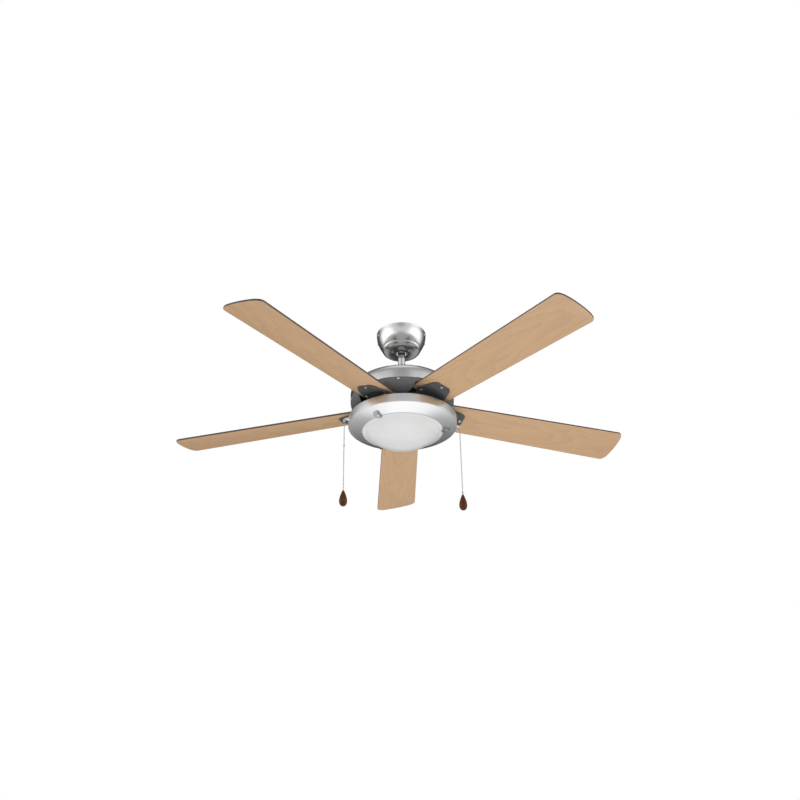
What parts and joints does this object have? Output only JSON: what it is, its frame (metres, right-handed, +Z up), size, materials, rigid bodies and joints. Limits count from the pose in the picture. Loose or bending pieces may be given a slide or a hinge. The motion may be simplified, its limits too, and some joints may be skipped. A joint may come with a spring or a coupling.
{
  "type": "ceiling fan with light",
  "caption": "Downrod ceiling fan with pitched wood blades, a slim motor housing, an opal glass light bowl and pull chains.",
  "frame": {"origin": "centre of the ceiling plane, on the top face of the ceiling bracket, on the rod's axis", "axes": "+Z up into the ceiling along the rod; the fan hangs towards -Z; +X runs through the two bracket slots; -Y is the side the picture looks from"},
  "size_m": [1.2764, 1.232, 0.5345],
  "materials": {
    "nickel": "satin nickel plate",
    "gunmetal": "dark gunmetal enamel",
    "spun_aluminium": "brushed, clear lacquered",
    "blade_wood": "beech below, walnut above, satin lacquer",
    "zinc_steel": "bright zinc plate",
    "black_plastic": "moulded",
    "white_plastic": "moulded",
    "silicon_steel": "varnished laminations",
    "copper": "enamelled wire",
    "cast_aluminium": "as cast",
    "opal_glass": "satin opal",
    "chain_metal": "bright nickel beads",
    "pendant_wood": "dark brown gloss lacquer",
    "chrome_fitting": "polished"
  },
  "bodies": {
    "ceiling_mounting": {"ceiling_bracket": "zinc_steel", "canopy": "nickel", "canopy_collar": "black_plastic", "canopy_screws": "zinc_steel", "collar_screws": "zinc_steel"},
    "ball_seat": {"ball_liner": "white_plastic"},
    "hanging_unit": {"hanger_ball": "black_plastic", "ball_pin": "zinc_steel", "downrod": "nickel", "motor_coupling": "zinc_steel", "coupling_pin": "zinc_steel", "coupling_set_screw": "zinc_steel", "top_cover": "nickel", "cover_screws": "zinc_steel", "motor_shaft": "zinc_steel", "stator_core": "silicon_steel", "stator_windings": "copper", "bearing_inner_rings": "chrome_fitting", "light_kit_plate": "spun_aluminium", "fitter_pan": "spun_aluminium", "pan_screws": "zinc_steel", "lampholders": "white_plastic", "bulbs": "opal_glass", "glass_bowl": "opal_glass", "run_capacitor": "black_plastic", "pull_switches": "black_plastic", "chain_nozzles": "chrome_fitting", "reverse_switch": "black_plastic", "clip_screws": "zinc_steel"},
    "rotor": {"rotor_upper_bell": "cast_aluminium", "rotor_lower_bell": "cast_aluminium", "rotor_ring": "silicon_steel", "bearing_outer_rings": "chrome_fitting", "rotor_shell": "gunmetal", "shell_screws": "zinc_steel", "blade_1": "blade_wood", "blade_2": "blade_wood", "blade_3": "blade_wood", "blade_4": "blade_wood", "blade_5": "blade_wood", "blade_iron_1": "gunmetal", "blade_iron_2": "gunmetal", "blade_iron_3": "gunmetal", "blade_iron_4": "gunmetal", "blade_iron_5": "gunmetal", "blade_screws": "zinc_steel", "iron_screws": "zinc_steel"},
    "clip_a": {"glass_clip_1": "spun_aluminium"},
    "clip_b": {"glass_clip_2": "spun_aluminium"},
    "clip_c": {"glass_clip_3": "spun_aluminium"},
    "reverse_slider": {"reverse_knob": "black_plastic"},
    "fan_pull": {"fan_pull_link": "chain_metal"},
    "fan_chain": {"fan_chain_upper": "chain_metal"},
    "fan_chain_end": {"fan_connector": "chain_metal", "fan_chain_lower": "chain_metal", "fan_pendant": "pendant_wood"},
    "light_pull": {"light_pull_link": "chain_metal"},
    "light_chain_body": {"light_chain": "chain_metal"},
    "light_chain_end": {"light_connector": "chain_metal", "light_pendant": "pendant_wood"}
  },
  "joints": [
    {"name": "hanger_tilt_side", "type": "hinge", "parent": "ceiling_mounting", "child": "ball_seat", "pos_m": [0, 0, -0.03], "axis": [0, 1, 0], "range_deg": [-7, 7]},
    {"name": "hanger_tilt_fore", "type": "hinge", "parent": "ball_seat", "child": "hanging_unit", "pos_m": [0, 0, -0.03], "axis": [1, 0, 0], "range_deg": [-7, 7]},
    {"name": "rotor_spin", "type": "hinge", "parent": "hanging_unit", "child": "rotor", "pos_m": [0, 0, -0.24], "axis": [0, 0, 1], "continuous": true},
    {"name": "clip_a_turn", "type": "hinge", "parent": "hanging_unit", "child": "clip_a", "pos_m": [-0.06372, -0.09812, -0.3055], "axis": [-0.1926, -0.2966, -0.9354], "range_deg": [-90, 90]},
    {"name": "clip_b_turn", "type": "hinge", "parent": "hanging_unit", "child": "clip_b", "pos_m": [0.11684, -0.00612, -0.3055], "axis": [0.3532, -0.0185, -0.9354], "range_deg": [-90, 90]},
    {"name": "clip_c_turn", "type": "hinge", "parent": "hanging_unit", "child": "clip_c", "pos_m": [-0.05312, 0.10425, -0.3055], "axis": [-0.1606, 0.3151, -0.9354], "range_deg": [-90, 90]},
    {"name": "reverse_slide", "type": "slide", "parent": "hanging_unit", "child": "reverse_slider", "axis": [-0.9962, -0.0872, 0], "range_m": [0, 0.006]},
    {"name": "fan_switch_pull", "type": "slide", "parent": "hanging_unit", "child": "fan_pull", "axis": [0, 0, -1], "range_m": [0, 0.012], "stiffness_N_per_m": 400, "springref_m": -0.006},
    {"name": "fan_chain_swing", "type": "hinge", "parent": "fan_pull", "child": "fan_chain", "pos_m": [-0.15658, -0.02761, -0.2895], "axis": [-0.9848, -0.1736, 0], "range_deg": [-60, 60]},
    {"name": "fan_pendant_swing", "type": "hinge", "parent": "fan_chain", "child": "fan_chain_end", "pos_m": [-0.15658, -0.02761, -0.356], "axis": [0.1736, -0.9848, 0], "range_deg": [-60, 60]},
    {"name": "light_switch_pull", "type": "slide", "parent": "hanging_unit", "child": "light_pull", "axis": [0, 0, -1], "range_m": [0, 0.012], "stiffness_N_per_m": 400, "springref_m": -0.006},
    {"name": "light_chain_swing", "type": "hinge", "parent": "light_pull", "child": "light_chain_body", "pos_m": [0.15658, 0.02761, -0.2895], "axis": [0.9848, 0.1736, 0], "range_deg": [-60, 60]},
    {"name": "light_pendant_swing", "type": "hinge", "parent": "light_chain_body", "child": "light_chain_end", "pos_m": [0.15658, 0.02761, -0.474], "axis": [-0.1736, 0.9848, 0], "range_deg": [-60, 60]}
  ]
}
